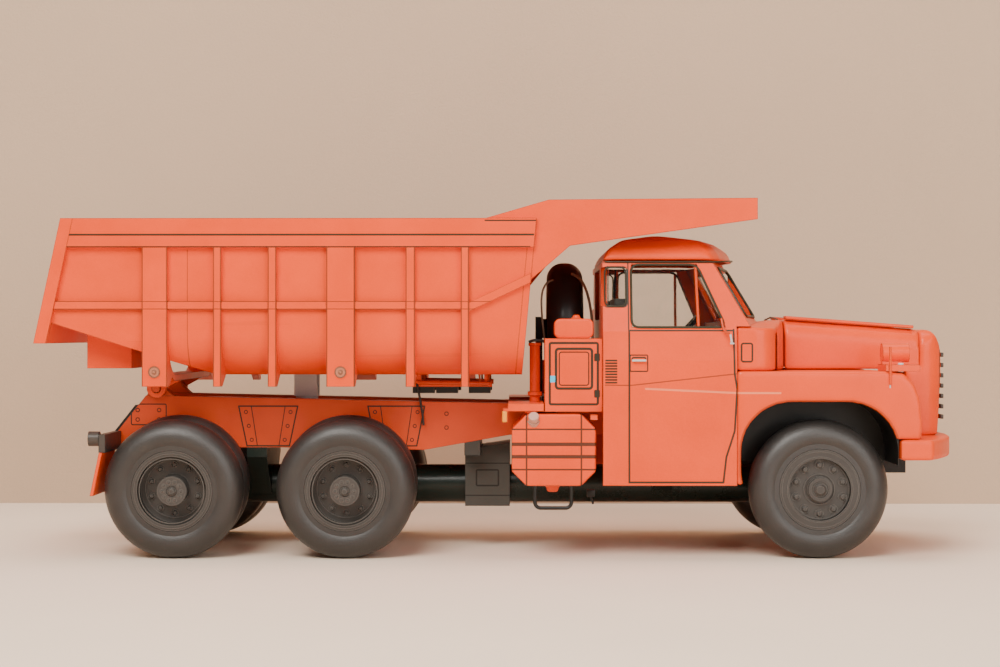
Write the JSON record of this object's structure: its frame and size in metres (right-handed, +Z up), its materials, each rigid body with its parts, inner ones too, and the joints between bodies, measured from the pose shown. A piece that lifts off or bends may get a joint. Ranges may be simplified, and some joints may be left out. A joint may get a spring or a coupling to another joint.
{
  "type": "card scale model of a dump truck",
  "caption": "Card scale model of a bonneted six-wheel-drive dump truck with a tipping bed on a hinged telescopic ram and turning wheels.",
  "frame": {"origin": "on the floor, below the middle of the model's bounding box", "axes": "+X to the front of the truck, +Y to its left side, +Z up"},
  "size_m": [0.2266, 0.078, 0.0874],
  "materials": {
    "orange_card": "gloss varnish",
    "frame_card": "gloss varnish",
    "tyre_card": "matt",
    "backbone_card": "gloss varnish",
    "grey_card": "satin",
    "dark_card": "satin",
    "black_card": "satin",
    "film": "clear",
    "rim_card": "satin",
    "wire": "satin",
    "silver_card": "satin"
  },
  "bodies": {
    "chassis": {"frame_rails": "frame_card", "bed_hinge": "frame_card", "backbone_tube": "backbone_card", "transfer_case": "grey_card", "front_half_axles": "backbone_card", "rear_half_axles": "backbone_card", "cab_shell": "orange_card", "cab_roof": "orange_card", "windscreen": "film", "side_windows": "film", "seats": "dark_card", "dashboard": "dark_card", "steering_wheel": "dark_card", "scuttle": "orange_card", "bonnet": "orange_card", "nose_panel": "orange_card", "front_fenders": "orange_card", "arch_liners": "black_card", "front_bumper": "orange_card", "tow_block": "black_card", "headlamps": "orange_card", "fuel_tank": "orange_card", "tank_step": "wire", "side_beams": "orange_card", "tool_box": "orange_card", "canister": "orange_card", "spare_tyre": "tyre_card", "spare_carrier": "black_card", "standpipe": "orange_card", "air_tanks": "orange_card", "battery_box": "orange_card", "tail_plate": "black_card", "rear_lamps": "black_card", "rear_flaps": "orange_card"},
    "bed": {"bed_shell": "orange_card", "bed_front_wall": "orange_card", "bed_ribs": "orange_card", "bed_rims": "orange_card", "bed_tail_frame": "orange_card", "bed_canopy": "orange_card", "bed_subframe": "orange_card", "rest_pads": "black_card", "ram_bracket": "silver_card"},
    "ram_barrel": {"ram_barrel": "silver_card"},
    "ram_lower_stage": {"ram_lower_stage": "silver_card"},
    "ram_upper_stage": {"ram_upper_stage": "silver_card"},
    "ram_rod": {"ram_rod": "silver_card"},
    "front_left_wheel": {"front_left_tyre": "tyre_card", "front_left_rim": "rim_card"},
    "front_right_wheel": {"front_right_tyre": "tyre_card", "front_right_rim": "rim_card"},
    "middle_left_wheel": {"middle_left_tyres": "tyre_card", "middle_left_rim": "rim_card"},
    "middle_right_wheel": {"middle_right_tyres": "tyre_card", "middle_right_rim": "rim_card"},
    "rear_left_wheel": {"rear_left_tyres": "tyre_card", "rear_left_rim": "rim_card"},
    "rear_right_wheel": {"rear_right_tyres": "tyre_card", "rear_right_rim": "rim_card"}
  },
  "joints": [
    {"name": "bed_tilt", "type": "hinge", "parent": "chassis", "child": "bed", "pos_m": [-0.0873, 0, 0.0409], "axis": [0, -1, 0], "range_deg": [0, 50]},
    {"name": "ram_swing", "type": "hinge", "parent": "chassis", "child": "ram_barrel", "pos_m": [-0.0512, 0, 0.029], "axis": [0, -1, 0], "range_deg": [0, 17.25]},
    {"name": "ram_lower_slide", "type": "slide", "parent": "ram_barrel", "child": "ram_lower_stage", "axis": [0, 0, 1], "range_m": [0, 0.01001]},
    {"name": "ram_upper_slide", "type": "slide", "parent": "ram_lower_stage", "child": "ram_upper_stage", "axis": [0, 0, 1], "range_m": [0, 0.01001]},
    {"name": "ram_rod_slide", "type": "slide", "parent": "ram_upper_stage", "child": "ram_rod", "axis": [0, 0, 1], "range_m": [0, 0.01001]},
    {"name": "front_left_wheel_spin", "type": "hinge", "parent": "chassis", "child": "front_left_wheel", "pos_m": [0.0766, 0.0303, 0.0169], "axis": [0, 1, 0], "continuous": true},
    {"name": "front_right_wheel_spin", "type": "hinge", "parent": "chassis", "child": "front_right_wheel", "pos_m": [0.0766, -0.0303, 0.0169], "axis": [0, 1, 0], "continuous": true},
    {"name": "middle_left_wheel_spin", "type": "hinge", "parent": "chassis", "child": "middle_left_wheel", "pos_m": [-0.0383, 0.0327, 0.0169], "axis": [0, 0.9976, -0.0698], "continuous": true},
    {"name": "middle_right_wheel_spin", "type": "hinge", "parent": "chassis", "child": "middle_right_wheel", "pos_m": [-0.0383, -0.0327, 0.0169], "axis": [0, 0.9976, 0.0698], "continuous": true},
    {"name": "rear_left_wheel_spin", "type": "hinge", "parent": "chassis", "child": "rear_left_wheel", "pos_m": [-0.0801, 0.0327, 0.0169], "axis": [0, 0.9976, -0.0698], "continuous": true},
    {"name": "rear_right_wheel_spin", "type": "hinge", "parent": "chassis", "child": "rear_right_wheel", "pos_m": [-0.0801, -0.0327, 0.0169], "axis": [0, 0.9976, 0.0698], "continuous": true}
  ],
  "couplings": [
    {"joint": "ram_swing", "follows": "bed_tilt", "ratio": 0.345},
    {"joint": "ram_lower_slide", "follows": "bed_tilt", "m_per_rad": 0.011467},
    {"joint": "ram_upper_slide", "follows": "bed_tilt", "m_per_rad": 0.011467},
    {"joint": "ram_rod_slide", "follows": "bed_tilt", "m_per_rad": 0.011467}
  ]
}
